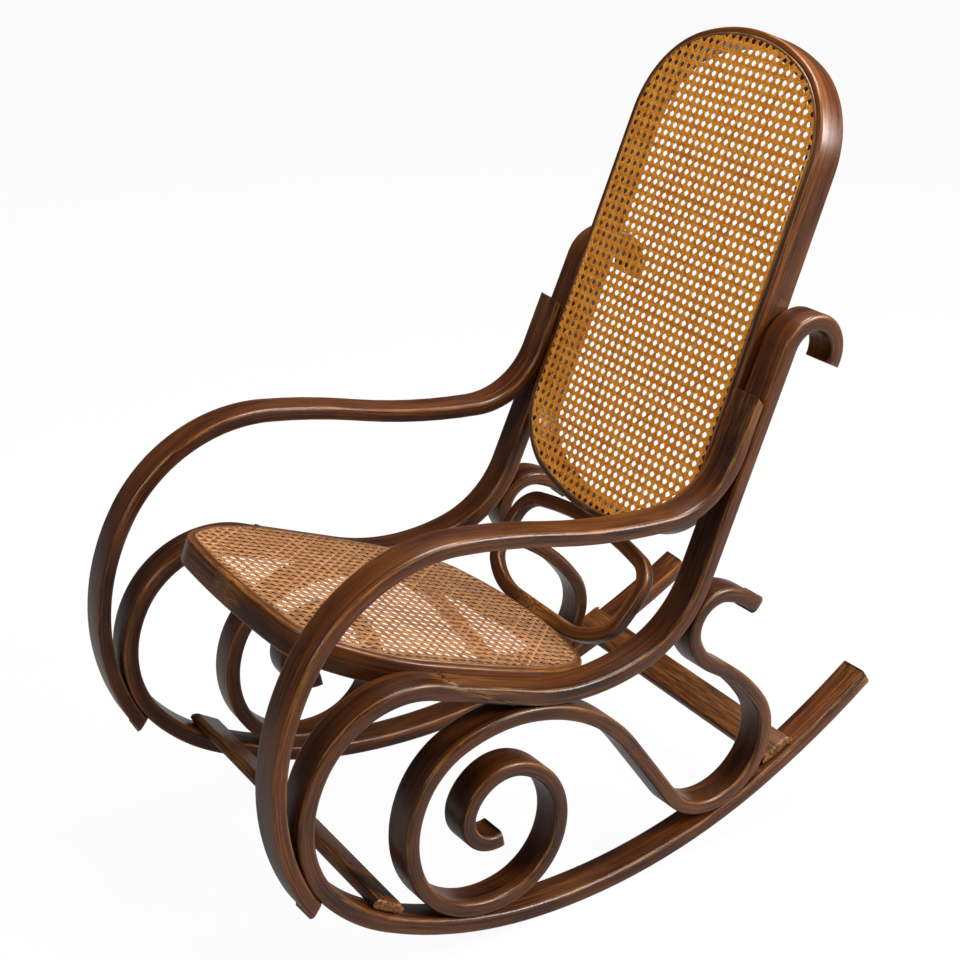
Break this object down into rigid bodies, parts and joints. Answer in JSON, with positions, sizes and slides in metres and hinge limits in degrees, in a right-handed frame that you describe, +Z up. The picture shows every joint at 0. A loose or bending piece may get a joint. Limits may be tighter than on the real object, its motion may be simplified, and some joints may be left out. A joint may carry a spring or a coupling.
{
  "type": "rocking chair",
  "caption": "Bentwood rocking chair with scrolled side frames on long curved rockers, bent arms, a cane-panelled seat and a tall cane back in rounded wooden rings.",
  "frame": {"origin": "floor, at the centre of the bounding box seen from above", "axes": "+Z up, -Y the way the sitter faces, +X towards the sitter's left; the chair stands leaned back as it balances empty on its rockers"},
  "size_m": [0.5224, 0.955, 1.0405],
  "materials": {
    "stained_beech": "satin varnish over a red-brown stain",
    "woven_cane": "aged semi-gloss cane",
    "cane_spline": "aged reed",
    "screw_steel": "dulled steel"
  },
  "bodies": {
    "root": {"arm_left": "stained_beech", "arm_right": "stained_beech", "arm_tip_screw_left": "screw_steel", "arm_tip_screw_right": "screw_steel", "arm_top_screw_left": "screw_steel", "arm_top_screw_right": "screw_steel", "back_cane": "woven_cane", "back_hoop": "stained_beech", "back_ring": "stained_beech", "back_screw_high_left": "screw_steel", "back_screw_high_right": "screw_steel", "back_screw_low_left": "screw_steel", "back_screw_low_right": "screw_steel", "back_spline": "cane_spline", "front_stretcher": "stained_beech", "front_stretcher_screw_left": "screw_steel", "front_stretcher_screw_right": "screw_steel", "hoop_seat_screw_left": "screw_steel", "hoop_seat_screw_right": "screw_steel", "hoop_top_screw": "screw_steel", "rear_stretcher": "stained_beech", "rear_stretcher_screw_left": "screw_steel", "rear_stretcher_screw_right": "screw_steel", "rocker_left": "stained_beech", "rocker_right": "stained_beech", "scarf_screw_front_left": "screw_steel", "scarf_screw_front_right": "screw_steel", "scarf_screw_rear_left": "screw_steel", "scarf_screw_rear_right": "screw_steel", "scroll_foot_screw_left": "screw_steel", "scroll_foot_screw_right": "screw_steel", "scroll_left": "stained_beech", "scroll_post_screw_left": "screw_steel", "scroll_post_screw_right": "screw_steel", "scroll_rail_screw_left": "screw_steel", "scroll_rail_screw_right": "screw_steel", "scroll_right": "stained_beech", "seat_cane": "woven_cane", "seat_ring": "stained_beech", "seat_screw_front_left": "screw_steel", "seat_screw_front_right": "screw_steel", "seat_screw_rear_left": "screw_steel", "seat_screw_rear_right": "screw_steel", "seat_spline": "cane_spline", "side_post_left": "stained_beech", "side_post_right": "stained_beech"}
  },
  "joints": []
}
